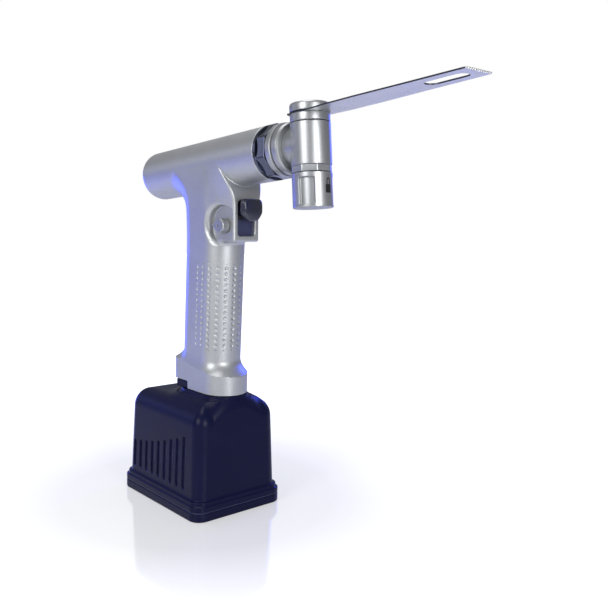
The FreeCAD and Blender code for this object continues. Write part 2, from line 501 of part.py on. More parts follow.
doc.recompute()
bad = [(thing.Label, thing.State) for thing in doc.Objects if "Invalid" in thing.State or "Error" in thing.State]
for thing in nodes:
    shape = thing.Shape
    if shape.isNull() or not shape.isValid():
        bad.append((thing.Label, "shape"))
if bad:
    raise RuntimeError("unsound: %s" % bad)
for thing in nodes:
    thing.Shape.exportStep("parts/%s.step" % thing.Label)
print(len(nodes), "pieces")
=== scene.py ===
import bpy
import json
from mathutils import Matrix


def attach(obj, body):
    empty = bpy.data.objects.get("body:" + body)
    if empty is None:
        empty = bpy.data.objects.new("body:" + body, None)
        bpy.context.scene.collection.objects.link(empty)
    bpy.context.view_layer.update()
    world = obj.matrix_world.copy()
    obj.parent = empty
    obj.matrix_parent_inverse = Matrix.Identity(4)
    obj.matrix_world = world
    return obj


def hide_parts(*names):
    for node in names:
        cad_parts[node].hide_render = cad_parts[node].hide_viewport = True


bl_info = {
    "name": "Sagittal saw handpiece",
    "version": (1, 0, 0),
    "blender": (4, 5, 0),
    "location": "View3D > Sidebar > Saw",
    "description": "Dresses the packed model of a battery saw handpiece: casing, head, blade and battery",
    "category": "Object",
}

import json
import math
import bpy
import bmesh
import numpy as np
from bpy.props import FloatProperty, IntProperty, PointerProperty
from mathutils import Matrix, Vector

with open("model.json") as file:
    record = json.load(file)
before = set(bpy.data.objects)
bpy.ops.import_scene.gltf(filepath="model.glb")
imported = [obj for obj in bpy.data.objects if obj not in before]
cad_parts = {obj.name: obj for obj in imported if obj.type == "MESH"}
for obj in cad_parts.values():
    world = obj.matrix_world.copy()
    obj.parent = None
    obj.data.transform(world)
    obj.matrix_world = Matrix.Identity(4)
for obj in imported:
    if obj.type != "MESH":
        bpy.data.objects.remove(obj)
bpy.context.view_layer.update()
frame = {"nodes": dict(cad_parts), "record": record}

# Lengths below are millimetres in the row frame; the barrel frame is u along the
# barrel, v to the left and w up, as in the model's source.
MM = 0.001
TILT = math.radians(5.1)
AXIS = 217.8
REACH = 105.0
HEAD_RADIUS = 11.22
SEAT_TOP = 16.5
STRIP_THICK = 0.8
TIP_X = 110.1
TIP_HALF = 9.4
SLOT_HALF = 4.2


def linear(hex_text):
    """sRGB hex to linear RGBA."""
    parts = [int(hex_text[i:i + 2], 16) / 255 for i in (1, 3, 5)]
    return [p / 12.92 if p <= 0.04045 else ((p + 0.055) / 1.055) ** 2.4 for p in parts] + [1.0]


# Shapes as distance fields, in millimetres


def join_round(a, b, r):
    """Union with a fillet of radius r."""
    return np.maximum(r, np.minimum(a, b)) - np.hypot(np.maximum(r - a, 0), np.maximum(r - b, 0))


def meet_round(a, b, r):
    """Intersection with an edge rounded to radius r."""
    return np.minimum(-r, np.maximum(a, b)) + np.hypot(np.maximum(r + a, 0), np.maximum(r + b, 0))


def bite(a, b, r):
    """Body a with shape b cut away, its edge rounded to r."""
    return meet_round(a, -b, r)


def block(x, y, z, centre, half, r=0.0):
    """Rounded box."""
    q = [np.abs(p - c) - (s - r) for p, c, s in zip((x, y, z), centre, half)]
    out = np.sqrt(sum(np.maximum(p, 0) ** 2 for p in q))
    return out + np.minimum(np.maximum(np.maximum(q[0], q[1]), q[2]), 0) - r


def panel(a, b, half_a, half_b, r):
    """Rounded rectangle in two axes."""
    qa, qb = np.abs(a) - (half_a - r), np.abs(b) - (half_b - r)
    return np.hypot(np.maximum(qa, 0), np.maximum(qb, 0)) + np.minimum(np.maximum(qa, qb), 0) - r


def smooth_step(value, low, high):
    t = np.clip((value - low) / (high - low), 0, 1)
    return t * t * (3 - 2 * t)


def barrel_letters(x, z):
    c, s = math.cos(TILT), math.sin(TILT)
    return x * c + (z - AXIS) * s, -x * s + (z - AXIS) * c


def casing_field(s):
    """Cast casing: barrel, oval grip, trigger housing, foot, recess and dimples."""
    def field(x, y, z):
        u, w = barrel_letters(x, z)
        side = np.abs(y)
        tube = np.hypot(y, w) - s.barrel_radius
        barrel = meet_round(meet_round(tube, -54.5 - u, 7.0), u - 72.8, 0.5)
        # grip: oval raked back, widening to the barrel's own width at its top
        gx = x - s.grip_rake * (z - 130) - 13.45
        wide = s.grip_half + 1.75 * smooth_step(z, 166, 214)
        # the back sweeps rearwards where it nears the barrel
        near = np.clip(1 - tube / 14, 0, 1)
        ends = np.where(gx > 0, gx, -gx - 19 * (1 - np.sqrt(1 - near ** 2))) - 7.25
        oval = np.hypot(np.maximum(ends, 0), y) - wide
        # foot: round in front, square behind, its edge sloping down to the front,
        # with a hollow flare from that edge up into the grip
        back = panel(x - 8.5, y, 20.0, s.foot_half, 5.0)
        front = np.hypot(x - 25.3, y) - s.foot_half
        plan = np.where(x > 25.3, front, np.where(x > 10, side - s.foot_half, back))
        climb = np.clip((z - 94.4 + (x + 11.5) * 0.145) / 8.0, 0, 1)
        grip = plan + (oval - plan) * (1 - (1 - climb) ** 2)
        grip = np.maximum(meet_round(grip, 74.9 - z, 0.5), w)
        # trigger housing: its flanks leave the oval at a tangent and narrow to the face
        face = 47.5 - 11 * smooth_step(z, 198, 226)
        slim = 9.5 + 6.4 * smooth_step(z, 192, 221)
        ahead = gx - 7.25
        length = face - x + ahead
        lean = np.arctan2(slim, length) + np.arccos(np.minimum(wide / np.hypot(slim, length), 1))
        flank = np.cos(lean) * ahead + np.sin(lean) * side - wide
        web = meet_round(meet_round(flank, x - face, 1.2), 172 - z, 1.2)
        web = np.maximum(np.maximum(web, w), np.cos(lean) * side - np.sin(lean) * ahead)
        lower = join_round(grip, web, 0.02 + 3.0 * smooth_step(ahead, 4, 13))
        shape = join_round(barrel, lower, 0.02 + (1 - smooth_step(side, 10, 15)) * (gx > 0))
        pocket = np.hypot(x - 38.5, z - 181.5) - 12.2 - 0.25 * np.maximum(-9.7 - y, 0)
        pocket = np.maximum(pocket, 9.7 + y)
        shape = bite(shape, pocket, 0.4 + 2.0 * smooth_step(42 - x, 0, 12))
        slot = np.maximum(panel(y, z - 186.25, 6.4, 10.75, 2.0), 36 - x)
        shape = bite(shape, slot, 0.5)
        shape = np.maximum(shape, -np.maximum(z - 80, x - 6.3))
        # dimples: a grid round the front half of the oval
        turned_in = np.arctan2(side, np.maximum(ahead, 1e-6)) * wide
        span = np.where(ahead > 0, turned_in, wide * math.pi / 2 - ahead)
        row = (z - 95.5) / s.dimple_row
        column = span / s.dimple_column
        near_row = (row - np.round(row)) * s.dimple_row
        near_column = (column - np.round(column)) * s.dimple_column
        dot = np.sqrt(near_row ** 2 + near_column ** 2 + (oval - 0.85) ** 2) - 1.42
        reach = (z > 103) & (z < 158) & (span < 31)
        return np.maximum(shape, -np.where(reach, dot, 5.0))
    return field


def battery_field(s):
    """Battery shell: drafted box on a double-stepped flange, rib slots and plinth."""
    def field(x, y, z):
        lean = (z - 12.2) * math.tan(math.radians(1.8))
        wall = panel(x, y, s.pack_long - lean, s.pack_wide - lean, 8.0)
        body = meet_round(wall, z - 69.9, 12.0)
        rise = np.clip((z - 9.2) / 1.0, 0, 1)
        flange = panel(x, y, s.flange_long - 1.1 * rise, s.flange_wide - 1.1 * rise, 8.0)
        flange = meet_round(meet_round(flange, z - 12.2, 0.7), 6.0 - z, 0.4)
        shell = join_round(body, flange, 1.0)
        column = np.clip(np.round((x + 33.8) / 7.5), 0, 8)
        near = x + 33.8 - column * 7.5
        top = 34.6 + column + 0.12 * column ** 2
        middle = (top + 16.5) / 2
        slot = np.hypot(near, np.maximum(np.abs(z - middle) - (top - 16.5) / 2 + 1.6, 0)) - 1.6
        depth = s.pack_wide - lean - np.abs(y)
        slot = np.maximum(slot, depth - 0.9)
        shell = bite(shell, slot, 0.35)
        # plinth: a low rim on a flared shoulder, which the walls cut off
        stand = np.hypot(np.maximum(np.abs(x - 15.4) - 9.9, 0), y) - 16.5
        rim = stand + 0.8 * smooth_step(z, 72.6, 73.1)
        flare = meet_round((stand - np.maximum(73.2 - z, 0)) * 0.75, wall, 5.0)
        plinth = meet_round(np.maximum(rim - 40 * (z < 72), flare), z - 74.6, 0.5)
        fillet = 0.02 + 5.0 * smooth_step(-wall, 0.3, 9)
        return np.maximum(join_round(shell, np.maximum(plinth, 50 - z), fillet), 6.0 - z)
    return field


def base_field(x, y, z):
    plate = panel(x, y, 45.9, 34.1, 8.0)
    plate = meet_round(meet_round(plate, z - 5.5, 0.6), -z, 0.8)
    for sx in (-36, 36):
        for sy in (-25, 25):
            plate = bite(plate, np.maximum(np.hypot(x - sx, y - sy) - 2.6, z - 2.0), 0.3)
    return plate


def head_field(x, y, z):
    """Head body: upright barrel with the neck running into its back."""
    upright = meet_round(np.hypot(x, y) - HEAD_RADIUS, z - 11.8, 0.35)
    upright = meet_round(upright, -11.3 - z, 0.35)
    neck = meet_round(np.hypot(y, z) - 11.25, -12.1 - x, 0.4)
    neck = np.maximum(neck, x)
    return join_round(upright, neck, 0.5)


def knob_field(x, y, z):
    """Lock knob: cup with three rounded finger pockets."""
    ring = np.hypot(x, y)
    cup = meet_round(meet_round(ring - HEAD_RADIUS, z + 15.3, 0.35), -34.4 - z, 0.7)
    angle = np.arctan2(y, x) - math.pi / 3
    angle = (angle + math.pi / 3) % (2 * math.pi / 3) - math.pi / 3
    window = panel(angle * HEAD_RADIUS, z + 25.5, 4.7, 7.5, 1.0)
    return bite(cup, np.maximum(window, 9.3 - ring), 0.25)


def trigger_field(x, y, z):
    """Trigger pad: shield outline, crowned face."""
    half = 7.1 - 2.8 * smooth_step(-z, -190.5, -184.7)
    outline = panel(y / half * 7.1, z - 191.35, 7.1, 6.65, 2.6)
    crown = 55.5 - 0.022 * y * y - 0.02 * (z - 192) ** 2
    pad = meet_round(meet_round(outline, x - crown, 1.1), 50.5 - x, 0.4)
    stem = block(x, y, z, (46, 0, 191.5), (5.5, 4.7, 3.6), 0.4)
    return join_round(pad, stem, 0.3)


def dial_field(x, y, z):
    """Selector: six-sided boss with a pointer drawn out to the rear."""
    angle = np.arctan2(z, x)
    angle = (angle + math.pi / 6) % (math.pi / 3) - math.pi / 6
    boss = np.maximum(np.hypot(x, z) * np.cos(angle) - 4.25, np.hypot(x, z) - 4.55)
    boss = meet_round(boss, -5.1 - y, 0.7)
    wedge = np.abs(z) - (3.4 + x * 0.26)
    wedge = meet_round(np.maximum(wedge * 0.95, x), -10.4 - x, 0.5)
    wedge = meet_round(wedge, -3.5 - y - x * 0.05, 0.6)
    shape = np.maximum(join_round(boss, wedge, 0.6), y)
    return bite(shape, np.maximum(np.hypot(x + 1.2, z) - 0.8, y + 4.2), 0.2)


def latch_block_field(x, y, z):
    return block(x, y, z, (-1, 0, 77.15), (6.9, 14.5, 2.5), 0.8)


def latch_field(x, y, z):
    button = block(x, y, z, (-10.6, 0, 77.15), (2.0, 7.6, 2.25), 0.7)
    grip = np.hypot(x + 12.3, z - 76.8) - 1.7
    return join_round(button, np.maximum(grip, np.abs(y) - 4.5), 0.4)


def carved(name, field, low, high, step, place=None):
    """Mesh of a field's zero surface: one point per crossed cell, moved onto the
    surface, with the field's own slope as its normals."""
    axes = [np.arange(a - 1.5 * step, b + 2.5 * step, step) for a, b in zip(low, high)]
    value = field(*np.meshgrid(*axes, indexing="ij"))
    inside = value < 0
    shape = tuple(n - 1 for n in value.shape)
    part = [tuple(slice(d[i], shape[i] + d[i]) for i in range(3)) for d in np.ndindex(2, 2, 2)]
    count = sum(inside[p].astype(np.int8) for p in part)
    cells = np.argwhere((count > 0) & (count < 8))
    order = np.full(shape, -1, dtype=np.int64)
    order[tuple(cells.T)] = np.arange(len(cells))
    total, crossings = np.zeros((len(cells), 3)), np.zeros(len(cells))
    for axis in range(3):
        for d in np.ndindex(2, 2):
            start = np.insert(np.array(d), axis, 0)
            stop = start.copy()
            stop[axis] = 1
            a, b = value[tuple((cells + start).T)], value[tuple((cells + stop).T)]
            hit = (a < 0) != (b < 0)
            share = np.where(hit, a / np.where(hit, a - b, 1), 0)
            point = start + np.eye(3)[axis] * share[:, None]
            total += point * hit[:, None]
            crossings += hit
    points = (cells + total / crossings[:, None]) * step + np.array([a[0] for a in axes])

    def slope(p):
        e = step * 0.1
        rows = []
        for axis in range(3):
            d = np.eye(3)[axis] * e
            rows.append((field(*(p + d).T) - field(*(p - d).T)) / (2 * e))
        return np.array(rows).T

    for turn in range(4):
        rise = slope(points)
        push = field(*points.T)[:, None] * rise / np.maximum((rise ** 2).sum(1), 0.2)[:, None]
        points -= np.clip(push, -0.6 * step, 0.6 * step)
    normals = slope(points)
    normals /= np.maximum(np.linalg.norm(normals, axis=1), 1e-9)[:, None]
    faces = []
    for axis in range(3):
        b, c = (axis + 1) % 3, (axis + 2) % 3
        cut = [slice(1, -1)] * 3
        first, second = list(cut), list(cut)
        first[axis], second[axis] = slice(0, -1), slice(1, None)
        lower, upper = inside[tuple(first)], inside[tuple(second)]
        spots = np.argwhere(lower != upper)
        flip = lower[tuple(spots.T)]
        ring = []
        for db, dc in ((0, 0), (1, 0), (1, 1), (0, 1)):
            at = spots.copy()
            at[:, b] += db
            at[:, c] += dc
            ring.append(order[tuple(at.T)])
        quads = np.stack(ring, 1)
        quads[~flip] = quads[~flip][:, ::-1]
        faces.append(quads)
    faces = np.concatenate(faces)
    mesh = bpy.data.meshes.new(name)
    mesh.vertices.add(len(points))
    mesh.vertices.foreach_set("co", (points * MM).ravel())
    mesh.loops.add(faces.size)
    mesh.loops.foreach_set("vertex_index", faces.ravel().astype(np.int32))
    mesh.polygons.add(len(faces))
    mesh.polygons.foreach_set("loop_start", np.arange(0, faces.size, 4, dtype=np.int32))
    mesh.update(calc_edges=True)
    if place:
        mesh.transform(place)
        turn = np.array(place.to_3x3().normalized())
        normals = normals @ turn.T
    mesh.polygons.foreach_set("use_smooth", np.ones(len(faces), dtype=bool))
    mesh.normals_split_custom_set_from_vertices(normals.tolist())
    return seat(name, mesh)


def seat(name, mesh):
    thing = bpy.data.objects.new(name, mesh)
    bpy.context.scene.collection.objects.link(thing)
    return thing


def leaned(reach=0.0):
    """Matrix of the barrel frame, moved along the barrel; millimetres in, metres out."""
    move = Matrix.Translation((0, 0, AXIS * MM)) @ Matrix.Rotation(-TILT, 4, "Y")
    return move @ Matrix.Translation((reach * MM, 0, 0))


def eased(points, pieces=5):
    """Closed profile of (radius, along, round) with its corners rounded."""
    made = []
    count = len(points)
    for i, (r, a, ease) in enumerate(points):
        here = Vector((r, a))
        before, after = Vector(points[i - 1][:2]), Vector(points[(i + 1) % count][:2])
        if ease <= 0:
            made.append(here)
            continue
        one, two = (before - here).normalized(), (after - here).normalized()
        half = one.angle(two) / 2
        cut = ease / math.tan(half)
        start, stop = here + one * cut, here + two * cut
        centre = here + (one + two).normalized() * (ease / math.sin(half))
        for k in range(pieces + 1):
            ray = (start - centre).lerp(stop - centre, k / pieces).normalized() * ease
            made.append(centre + ray)
    return made


def turned(name, points, place, segments=144, flats=None):
    """Closed profile spun about its along axis; flats = (radius, apothem, from) cuts
    eight flats into the outside beyond one station."""
    profile = eased(points)
    bm = bmesh.new()
    rings = []
    for k in range(segments):
        turn = 2 * math.pi * k / segments
        ring = []
        for p in profile:
            radius = p.x
            if flats and p.x > flats[1] - 1 and p.y > flats[2]:
                lean = (turn + math.pi / 8) % (math.pi / 4) - math.pi / 8
                radius -= max(flats[0] - flats[1] / math.cos(lean), 0)
            across, up = radius * math.cos(turn), radius * math.sin(turn)
            ring.append(bm.verts.new((across * MM, up * MM, p.y * MM)))
        rings.append(ring)
    count = len(profile)
    for k in range(segments):
        one, two = rings[k], rings[(k + 1) % segments]
        for i in range(count):
            j = (i + 1) % count
            bm.faces.new((one[i], two[i], two[j], one[j]))
    bmesh.ops.remove_doubles(bm, verts=bm.verts, dist=1e-7)
    bmesh.ops.dissolve_degenerate(bm, edges=bm.edges, dist=1e-7)
    bmesh.ops.recalc_face_normals(bm, faces=bm.faces)
    mesh = bpy.data.meshes.new(name)
    bm.to_mesh(mesh)
    bm.free()
    mesh.transform(place)
    mesh.polygons.foreach_set("use_smooth", np.ones(len(mesh.polygons), dtype=bool))
    mesh.set_sharp_from_angle(angle=math.radians(32))
    return seat(name, mesh)


def dress(thing, body, node, material):
    """Give a piece its finish and tie it to the model."""
    thing.data.materials.clear()
    thing.data.materials.append(material)
    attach(thing, body)
    if node:
        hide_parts(*([node] if isinstance(node, str) else node))
    return thing


# Materials


def add(tree, kind, values=(), links=()):
    """Add a node with its settings and links."""
    made = tree.nodes.new(kind)
    for key, value in dict(values).items():
        if isinstance(key, int) or key in made.inputs:
            made.inputs[key].default_value = value
        else:
            setattr(made, key, value)
    for key, source in dict(links).items():
        tree.links.new(source, made.inputs[key])
    return made


def finish(name, low, high, metallic, rough_low, rough_high, grain_mm, bump_mm,
           cloud_mm=14.0, coat=0.0, stretch=(1, 1, 1), level=0.5):
    """Surface with a fine grain in its height and a slow cloud in colour and gloss."""
    material = bpy.data.materials.get(name)
    if material:
        return material
    material = bpy.data.materials.new(name)
    material.use_nodes = True
    tree = material.node_tree
    tree.nodes.clear()
    place = add(tree, "ShaderNodeTexCoord")
    map_ = add(tree, "ShaderNodeMapping", {"Scale": stretch}, {"Vector": place.outputs["Object"]})
    grain = add(tree, "ShaderNodeTexNoise",
                {"Scale": 1000 / grain_mm, "Detail": 3.0, "Roughness": 0.6},
                {"Vector": map_.outputs["Vector"]})
    cloud = add(tree, "ShaderNodeTexNoise",
                {"Scale": 1000 / cloud_mm, "Detail": 4.0},
                {"Vector": place.outputs["Object"]})
    blend = add(tree, "ShaderNodeMath",
                {"operation": "MULTIPLY_ADD", 1: 0.35},
                {0: cloud.outputs["Fac"], 2: grain.outputs["Fac"]})
    tone = add(tree, "ShaderNodeMapRange",
               {"From Min": 0.45, "From Max": 0.95},
               {"Value": blend.outputs[0]})
    colour = add(tree, "ShaderNodeMix",
                 {"data_type": "RGBA", 6: linear(low), 7: linear(high)},
                 {0: tone.outputs[0]})
    rough = add(tree, "ShaderNodeMapRange",
                {"From Min": 0.3, "From Max": 0.7, "To Min": rough_low, "To Max": rough_high},
                {"Value": cloud.outputs["Fac"]})
    bump = add(tree, "ShaderNodeBump",
               {"Strength": 1.0, "Distance": bump_mm * MM},
               {"Height": grain.outputs["Fac"]})
    shader = add(tree, "ShaderNodeBsdfPrincipled",
                 {"Metallic": metallic, "Coat Weight": coat, "Coat Roughness": 0.12,
                  "Specular IOR Level": level},
                 {"Base Color": colour.outputs[2], "Roughness": rough.outputs[0],
                  "Normal": bump.outputs[0]})
    add(tree, "ShaderNodeOutputMaterial", {}, {"Surface": shader.outputs[0]})
    return material


def cast_silver():
    # bead-blasted and anodised aluminium casting: soft grey sheen with a fine grain
    return finish("blasted_anodised_aluminium", "#A6A8AA", "#B6B8BA", 0.85, 0.40, 0.46, 0.7, 0.010)


def head_silver():
    # finely blasted stainless steel: paler and a little glossier than the casting
    return finish("fine_blasted_steel", "#9B9D9F", "#A8AAAC", 0.92, 0.37, 0.41, 0.5, 0.002)


def flat_steel_painted_reflection():
    # ground and polished flats with sharp reflections; their dark blue-grey colour is painted reflection,
    # dark surroundings and blue light painted into the steel's colour
    return finish("polished_steel_painted_dark_reflection", "#4C5060", "#626676", 1.0, 0.12, 0.16, 0.6, 0.001)


def blade_steel():
    # cold-rolled blade strip with lengthwise grinding marks
    return finish("ground_blade_steel", "#D2D3D0", "#DFE0DD", 0.95, 0.26, 0.32, 0.5, 0.002,
                  stretch=(0.05, 1, 1))


def edge_steel():
    # dark skin laid over the side faces of the blade strip
    return finish("dark_blade_edge_skin", "#3A3C45", "#484A54", 0.9, 0.30, 0.40, 0.5, 0.002)


def shell_black_painted_blue_light():
    # moulded polycarbonate, black with a navy tint that is painted blue light, spark-eroded texture with a
    # soft gloss
    return finish("textured_moulded_plastic_painted_blue_light", "#080B28", "#0B0F34", 0.0, 0.32, 0.38, 0.6, 0.008,
                  level=0.12)


def pad_black_painted_blue_light():
    # satin black moulded pad; its navy tint is painted blue light
    return finish("satin_black_moulding_painted_blue_light", "#15172C", "#1C1F38", 0.0, 0.20, 0.24, 0.5, 0.003, coat=0.5)


def slot_dark_painted_blue_light():
    # shadowed plastic inside the trigger slot; its blue-grey tint is painted blue light
    return finish("dark_slot_plastic_painted_blue_light", "#282C4C", "#343960", 0.0, 0.4, 0.5, 0.8, 0.01)


def inner_steel():
    return finish("turned_inner_steel", "#9A9C9F", "#B4B6B8", 1.0, 0.25, 0.35, 0.6, 0.004)


def inner_moulding():
    return finish("insulating_moulding", "#2A2B2E", "#36373A", 0.0, 0.45, 0.55, 0.8, 0.01)


def contact_brass():
    return finish("plain_brass", "#B8923F", "#D0AC5A", 1.0, 0.25, 0.35, 0.6, 0.004)


def board_green():
    return finish("circuit_board_resin", "#11402A", "#1A5436", 0.0, 0.35, 0.45, 0.8, 0.004)


def cell_blue():
    return finish("shrink_wrapped_cell", "#2E4D80", "#3A5C92", 0.0, 0.3, 0.4, 0.8, 0.004)


def icon_black():
    # pad-printed black marking ink
    return finish("black_marking_ink", "#08080A", "#101014", 0.0, 0.35, 0.45, 0.5, 0.002)


class SawSizes(bpy.types.PropertyGroup):
    """Sizes in millimetres that a user would change."""
    barrel_radius: FloatProperty(
        name="Barrel radius",
        description="Outside radius of the barrel, mm", default=16.0)
    grip_half: FloatProperty(
        name="Grip half width",
        description="Half the grip's width, mm", default=14.2)
    grip_rake: FloatProperty(
        name="Grip rake",
        description="How far the grip leans back for each mm of height", default=0.038)
    foot_half: FloatProperty(
        name="Foot half width",
        description="Half the foot's width, mm", default=15.2)
    dimple_row: FloatProperty(
        name="Dimple rows",
        description="Height between dimple rows, mm", default=3.5)
    dimple_column: FloatProperty(
        name="Dimple columns",
        description="Distance round the grip between columns, mm", default=5.5)
    pack_long: FloatProperty(
        name="Battery half length",
        description="Half the battery's length at its foot, mm", default=43.4)
    pack_wide: FloatProperty(
        name="Battery half width",
        description="Half the battery's width at its foot, mm", default=31.4)
    flange_long: FloatProperty(
        name="Flange half length",
        description="Half the flange's length, mm", default=45.9)
    flange_wide: FloatProperty(
        name="Flange half width",
        description="Half the flange's width, mm", default=34.1)
    blade_half: FloatProperty(
        name="Blade half width",
        description="Widest half width of the blade, mm", default=11.0)
    tooth_count: IntProperty(name="Teeth", description="Teeth across the blade's tip", default=12, min=4)


class SAW_OT_stage(bpy.types.Operator):
    """Camera, floor, lamps and background."""
    bl_idname = "saw.stage"
    bl_label = "Stage"

    def execute(self, context):
        scene = context.scene
        scene.view_settings.view_transform = "Standard"
        camera = bpy.data.cameras.new("Camera")
        camera.lens, camera.sensor_width = 45.24, 36.0
        camera.clip_start, camera.clip_end = 0.02, 20
        eye = bpy.data.objects.new("Camera", camera)
        yaw, pitch, roll = (math.radians(a) for a in (48.3828, -6.7408, 1.29))
        ahead = Vector((-math.sin(yaw) * math.cos(pitch), math.cos(yaw) * math.cos(pitch), math.sin(pitch)))
        right = Vector((math.cos(yaw), math.sin(yaw), 0))
        up = right.cross(ahead)
        across = right * math.cos(roll) + up * math.sin(roll)
        above = up * math.cos(roll) - right * math.sin(roll)
        turn = Matrix((across, above, -ahead)).transposed().to_4x4()
        eye.matrix_world = Matrix.Translation((0.42055, -0.28326, 0.18990)) @ turn
        scene.collection.objects.link(eye)
        scene.camera = eye

        world = bpy.data.worlds.new("Studio")
        world.use_nodes = True
        tree = world.node_tree
        tree.nodes.clear()
        path = add(tree, "ShaderNodeLightPath")
        soft = add(tree, "ShaderNodeBackground", {"Color": linear("#F4F5F7"), "Strength": 0.40})
        seen = add(tree, "ShaderNodeBackground", {"Color": (1, 1, 1, 1), "Strength": 1.0})
        mirror = add(tree, "ShaderNodeBackground", {"Color": linear("#E4E5E8"), "Strength": 0.42})
        first = add(tree, "ShaderNodeMixShader", {},
                    {0: path.outputs["Is Glossy Ray"], 1: soft.outputs[0], 2: mirror.outputs[0]})
        both = add(tree, "ShaderNodeMath", {"operation": "MAXIMUM"},
                   {0: path.outputs["Is Camera Ray"], 1: path.outputs["Is Transmission Ray"]})
        last = add(tree, "ShaderNodeMixShader", {},
                   {0: both.outputs[0], 1: first.outputs[0], 2: seen.outputs[0]})
        add(tree, "ShaderNodeOutputWorld", {}, {"Surface": last.outputs[0]})
        scene.world = world

        # pale paper sweep under the handpiece, fading to white away from it
        bm = bmesh.new()
        bmesh.ops.create_circle(bm, cap_ends=True, radius=3.0, segments=96)
        mesh = bpy.data.meshes.new("Floor")
        bm.to_mesh(mesh)
        bm.free()
        floor = seat("Floor", mesh)
        material = bpy.data.materials.new("pale_sweep_paper")
        material.use_nodes = True
        tree = material.node_tree
        tree.nodes.clear()
        path = add(tree, "ShaderNodeLightPath")
        paper = add(tree, "ShaderNodeBsdfPrincipled",
                    {"Base Color": linear("#F4F5F6"), "Roughness": 0.12, "Specular IOR Level": 0.6})
        where = add(tree, "ShaderNodeTexCoord")
        away = add(tree, "ShaderNodeVectorMath", {"operation": "LENGTH"}, {0: where.outputs["Object"]})
        fade = add(tree, "ShaderNodeMapRange",
                   {"From Min": 0.09, "From Max": 0.40, "To Min": 0.40, "To Max": 1.0},
                   {"Value": away.outputs["Value"]})
        glow = add(tree, "ShaderNodeEmission", {"Color": (1, 1, 1, 1)}, {"Strength": fade.outputs[0]})
        # near the object the floor mirrors it, for the camera only
        sheen = add(tree, "ShaderNodeBsdfGlossy", {"Color": linear("#F4F5F6"), "Roughness": 0.10})
        polish = add(tree, "ShaderNodeMixShader", {},
                     {0: fade.outputs[0], 1: sheen.outputs[0], 2: paper.outputs[0]})
        both = add(tree, "ShaderNodeAddShader", {}, {0: polish.outputs[0], 1: glow.outputs[0]})
        last = add(tree, "ShaderNodeMixShader", {},
                   {0: path.outputs["Is Camera Ray"], 1: paper.outputs[0], 2: both.outputs[0]})
        add(tree, "ShaderNodeOutputMaterial", {}, {"Surface": last.outputs[0]})
        floor.data.materials.append(material)

        lamps = (
            ("Key", (0.20, -0.85, 0.50), 0.42, 4.0, "#FFFFFF"),
            ("Front", (0.90, -0.15, 0.35), 0.38, 4.0, "#FFFFFF"),
            ("Top", (-0.05, -0.05, 1.0), 0.6, 4.0, "#FFFFFF"),
            ("Left", (-0.75, -0.60, 0.45), 0.40, 0.4, "#DDE1FF"),
            ("Rim", (-0.15, 0.75, 0.42), 0.3, 3.0, "#3F55FF"),
            ("LowRim", (-0.75, -0.10, 0.10), 0.25, 1.5, "#3F55FF"),
            ("Side", (-0.45, -0.65, 0.06), 0.07, 0.25, "#3F55FF"),
        )
        for name, at, size, power, tint in lamps:
            light = bpy.data.lights.new(name, "AREA")
            light.shape, light.size, light.energy = "DISK", size, power
            light.color = linear(tint)[:3]
            lamp = bpy.data.objects.new(name, light)
            lamp.location = at
            aim = Vector((0.03, 0, 0.16)) - Vector(at)
            lamp.rotation_euler = aim.to_track_quat("-Z", "Y").to_euler()
            scene.collection.objects.link(lamp)
        return {"FINISHED"}


class SAW_OT_casing(bpy.types.Operator):
    """Cast casing with its dimpled grip."""
    bl_idname = "saw.casing"
    bl_label = "Casing"

    def execute(self, context):
        step = 0.55
        field = casing_field(context.scene.saw_sizes)
        made = carved("casing_shell", field, (-55, -16.5, 74), (75, 16.5, 241), step)
        dress(made, "handpiece", "casing", cast_silver())
        return {"FINISHED"}


class SAW_OT_battery(bpy.types.Operator):
    """Battery shell, base plate and latch."""
    bl_idname = "saw.battery"
    bl_label = "Battery"

    def execute(self, context):
        step = 0.62
        field = battery_field(context.scene.saw_sizes)
        shell = carved("battery_shell", field, (-46, -35, 6), (46, 35, 75), step)
        dress(shell, "battery", "battery_housing", shell_black_painted_blue_light())
        base = carved("battery_foot", base_field, (-46, -35, 0), (46, 35, 5.5), 0.7)
        dress(base, "battery", "battery_base", shell_black_painted_blue_light())
        block_ = carved("latch_mount", latch_block_field, (-8, -15, 74.6), (6, 15, 79.7), 0.4)
        dress(block_, "battery", "latch_block", shell_black_painted_blue_light())
        latch = carved("latch_slider", latch_field, (-14.5, -8, 74.6), (-8, 8, 79.7), 0.35)
        dress(latch, "latch", "battery_latch", shell_black_painted_blue_light())
        return {"FINISHED"}


class SAW_OT_coupling(bpy.types.Operator):
    """Faceted collar and index ring."""
    bl_idname = "saw.coupling"
    bl_label = "Coupling"

    def execute(self, context):
        along = leaned() @ Matrix.Rotation(math.pi / 2, 4, "Y")
        profile = [(10.6, 73.1, 0.2), (16.0, 73.1, 0.3), (16.0, 75.2, 0.25),
                   (15.95, 75.25, 0), (15.95, 82.2, 0.35), (10.6, 82.2, 0.2)]
        corner_turn = Matrix.Rotation(math.radians(-5.5), 4, "Z")
        collar = turned("collar_flats", profile, along @ corner_turn, flats=(15.95, 14.82, 75.24))
        dress(collar, "collar", "coupling_collar", flat_steel_painted_reflection())
        profile = [(10.0, 82.6, 0), (10.0, 92.9, 0), (13.9, 92.9, 0.3), (14.8, 92.0, 0.4),
                   (14.8, 88.3, 0.3), (13.7, 88.1, 0.1), (13.7, 87.2, 0.1),
                   (15.2, 86.9, 0.3), (15.4, 83.6, 0.5), (14.7, 82.6, 0.2)]
        ring = turned("index_rings", profile, along)
        dress(ring, "head", "index_ring", head_silver())
        return {"FINISHED"}


